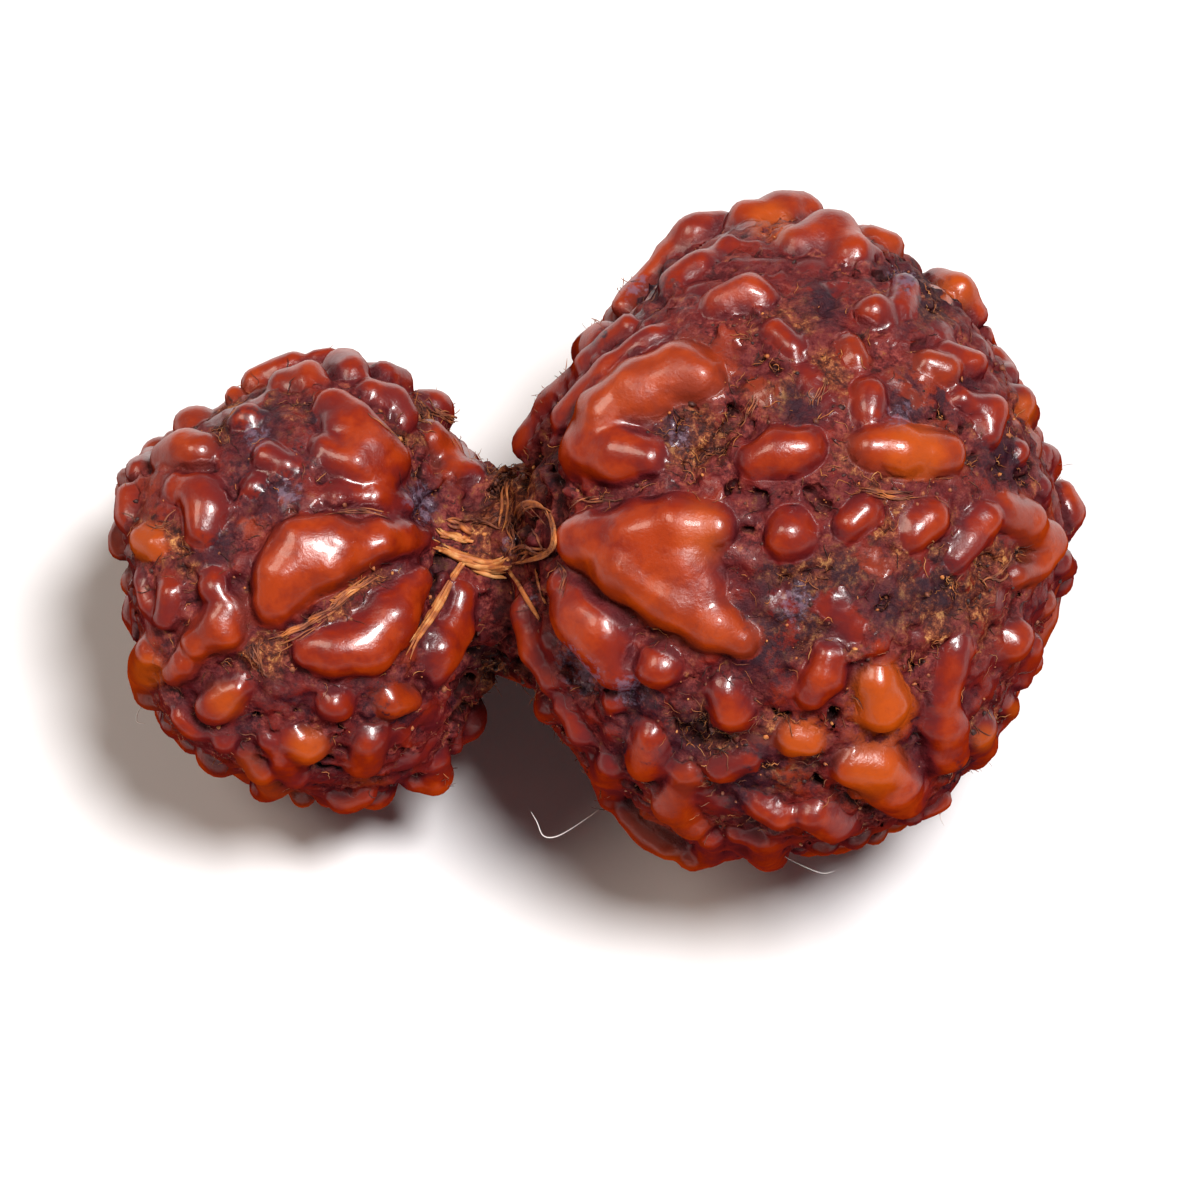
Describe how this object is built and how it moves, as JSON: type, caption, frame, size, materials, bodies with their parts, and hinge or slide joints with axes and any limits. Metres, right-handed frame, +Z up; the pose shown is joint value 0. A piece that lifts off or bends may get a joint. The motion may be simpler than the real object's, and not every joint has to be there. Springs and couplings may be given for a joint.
{
  "type": "conjoined rudraksha",
  "caption": "A large and a small rudraksha stone grown together at a short neck, with glossy red-brown lobes all over and fibrous crevices between them.",
  "frame": {"origin": "bottom centre of the object as it lies on three lobes", "axes": "+X from the small stone to the large one, +Z up, +Y level and away from the front"},
  "size_m": [0.0328, 0.0224, 0.0228],
  "materials": {
    "stone_shell": "glossy natural shell with fibrous crevices"
  },
  "bodies": {
    "root": {"rudraksha": "stone_shell"}
  },
  "joints": []
}
